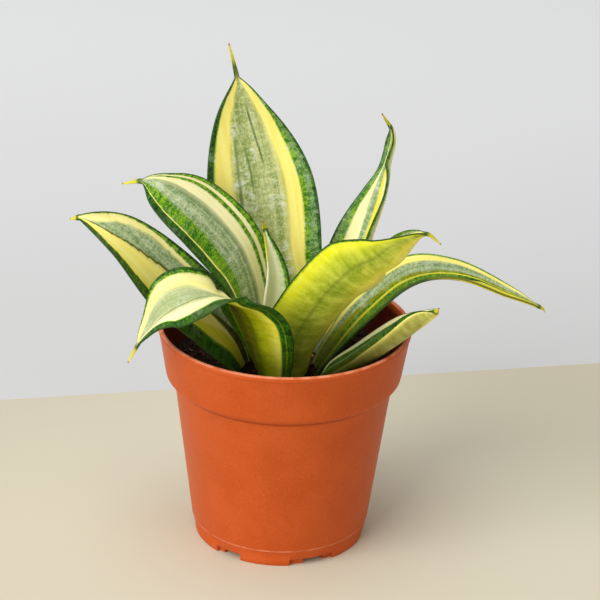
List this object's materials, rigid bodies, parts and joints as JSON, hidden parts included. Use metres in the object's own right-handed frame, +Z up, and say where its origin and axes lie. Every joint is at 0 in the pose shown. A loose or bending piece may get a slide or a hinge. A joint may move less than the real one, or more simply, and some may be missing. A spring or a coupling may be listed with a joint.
{
  "type": "potted snake plant",
  "caption": "Young variegated snake plant with broad pointed leaves in a round tapered plastic nursery pot filled with potting mix.",
  "frame": {"origin": "on the surface that the pot stands on, below the middle of the plant's whole spread; the pot's own axis is 9.2 mm from it towards -X", "axes": "+Z up, -Y the front side that the picture shows, +X to the right as seen from the front"},
  "size_m": [0.1942, 0.105, 0.2039],
  "materials": {
    "pot_plastic": "satin",
    "potting_mix": "matte",
    "crown_tissue": "matte",
    "leaf_tissue": "satin"
  },
  "bodies": {
    "root": {"pot": "pot_plastic", "soil": "potting_mix", "crown": "crown_tissue", "leaf_heart": "leaf_tissue", "leaf_tall_back": "leaf_tissue", "leaf_front_right": "leaf_tissue", "leaf_upper_left": "leaf_tissue", "leaf_back_right": "leaf_tissue", "leaf_front_left": "leaf_tissue", "leaf_far_right": "leaf_tissue", "leaf_far_left": "leaf_tissue", "leaf_low_right": "leaf_tissue"}
  },
  "joints": []
}
